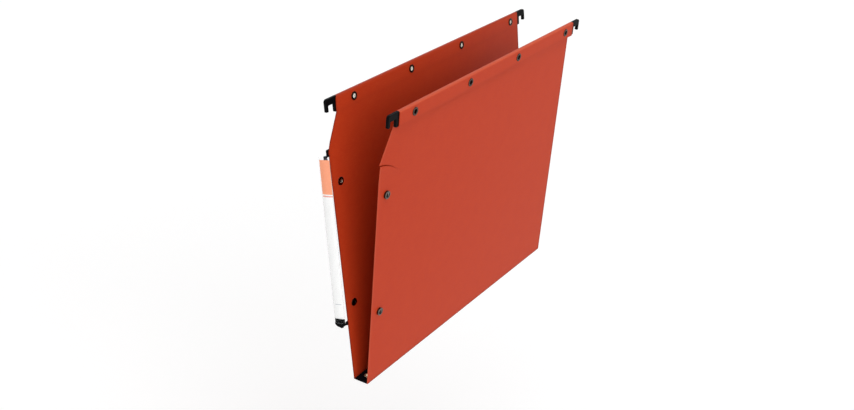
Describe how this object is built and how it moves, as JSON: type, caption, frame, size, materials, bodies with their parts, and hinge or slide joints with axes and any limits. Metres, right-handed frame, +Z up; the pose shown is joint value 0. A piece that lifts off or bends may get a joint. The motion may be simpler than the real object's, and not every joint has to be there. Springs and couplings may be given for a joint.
{
  "type": "hanging file folder",
  "caption": "Lateral suspension file of creased card with a narrow base, rail hooks in its riveted hems, linking press-studs and a swivelling clear label holder.",
  "frame": {"origin": "midway between the hook seats, at the height of the rails that the file hangs on", "axes": "+X along the creases, away from the label; +Y from the front panel to the rear panel; +Z up"},
  "size_m": [0.3623, 0.0728, 0.2792],
  "materials": {
    "card": "uncoated kraft card dyed red-orange, about 0.5 mm thick",
    "black_plastic": "moulded black polypropylene, satin",
    "strip_plastic": "black polypropylene strip, satin",
    "rail_plastic": "extruded black polypropylene",
    "nickel_steel": "dark nickel plated pressed steel",
    "spring_steel": "bright drawn wire",
    "brass_rivet": "pale plated brass",
    "clear_plastic": "clear extruded PVC, glossy",
    "label_paper": "white label paper with a pale orange header",
    "grey_plastic": "moulded blue-grey acetal"
  },
  "bodies": {
    "rear_panel": {"label_bracket_bottom": "black_plastic", "label_bracket_top": "black_plastic", "rear_card": "card", "rear_eyelet_1": "nickel_steel", "rear_eyelet_2": "nickel_steel", "rear_eyelet_3": "nickel_steel", "rear_eyelet_4": "nickel_steel", "rear_eyelet_washer_1": "nickel_steel", "rear_eyelet_washer_2": "nickel_steel", "rear_eyelet_washer_3": "nickel_steel", "rear_eyelet_washer_4": "nickel_steel", "rear_hook_far": "black_plastic", "rear_hook_label": "black_plastic", "rear_rail": "rail_plastic", "rear_stud_lower": "nickel_steel", "rear_stud_post_lower": "nickel_steel", "rear_stud_post_upper": "nickel_steel", "rear_stud_upper": "nickel_steel"},
    "base": {"base_card": "card", "base_rivet_far": "brass_rivet", "base_rivet_label": "brass_rivet", "base_strip": "strip_plastic"},
    "front_panel": {"front_card": "card", "front_eyelet_1": "nickel_steel", "front_eyelet_2": "nickel_steel", "front_eyelet_3": "nickel_steel", "front_eyelet_4": "nickel_steel", "front_eyelet_washer_1": "nickel_steel", "front_eyelet_washer_2": "nickel_steel", "front_eyelet_washer_3": "nickel_steel", "front_eyelet_washer_4": "nickel_steel", "front_hook_far": "black_plastic", "front_hook_label": "black_plastic", "front_rail": "rail_plastic", "front_socket_lower": "nickel_steel", "front_socket_post_lower": "nickel_steel", "front_socket_post_upper": "nickel_steel", "front_socket_spring_lower": "spring_steel", "front_socket_spring_upper": "spring_steel", "front_socket_upper": "nickel_steel"},
    "label_holder": {"label_sleeve": "clear_plastic", "label_cap": "black_plastic", "label_lug": "black_plastic", "label_pivot": "grey_plastic"},
    "label_strip": {"label_insert": "label_paper"}
  },
  "joints": [
    {"name": "rear_fold", "type": "hinge", "parent": "rear_panel", "child": "base", "pos_m": [-0.01035, 0.00775, -0.27229], "axis": [1, 0, 0], "range_deg": [-6.3, 85]},
    {"name": "front_fold", "type": "hinge", "parent": "base", "child": "front_panel", "pos_m": [-0.01035, -0.00775, -0.27229], "axis": [1, 0, 0], "range_deg": [-6.3, 85]},
    {"name": "label_swivel", "type": "hinge", "parent": "rear_panel", "child": "label_holder", "pos_m": [-0.18532, 0.01315, -0.21053], "axis": [0.0229, 0.0871, 0.9959], "range_deg": [-90, 60]},
    {"name": "label_slide", "type": "slide", "parent": "label_holder", "child": "label_strip", "axis": [0.0229, 0.0871, 0.9959], "range_m": [0, 0.15]}
  ]
}
